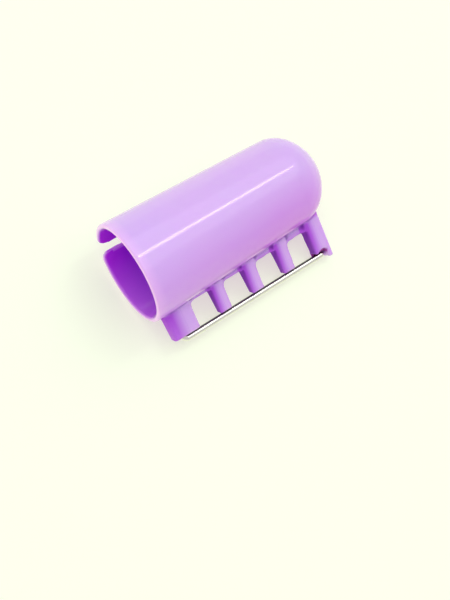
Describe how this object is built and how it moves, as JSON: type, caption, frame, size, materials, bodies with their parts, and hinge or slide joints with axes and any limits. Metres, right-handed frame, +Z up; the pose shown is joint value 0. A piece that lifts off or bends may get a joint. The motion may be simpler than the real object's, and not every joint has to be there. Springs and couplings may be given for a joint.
{
  "type": "knitting finger guard",
  "caption": "Knitting finger guard: a slit, dome-ended plastic thimble with a comb of yarn windows on its side, closed by a hinged steel wire bar.",
  "frame": {"origin": "on the floor under the middle of the guard's box, as it lies at rest", "axes": "+X along the sleeve towards its domed end, +Z up, and the comb reaches towards -Y and down to the floor"},
  "size_m": [0.0418, 0.026, 0.02],
  "materials": {
    "lavender_plastic": "glossy moulded lavender plastic, faintly translucent",
    "steel_wire": "bright drawn steel wire"
  },
  "bodies": {
    "sleeve": {"sleeve": "lavender_plastic"},
    "bar": {"closing_bar": "steel_wire"}
  },
  "joints": [
    {"name": "bar_pivot", "type": "hinge", "parent": "sleeve", "child": "bar", "pos_m": [-0.01661, -0.01065, 0.00338], "axis": [-0.0174, -0.9043, -0.4266], "range_deg": [0, 180]}
  ]
}
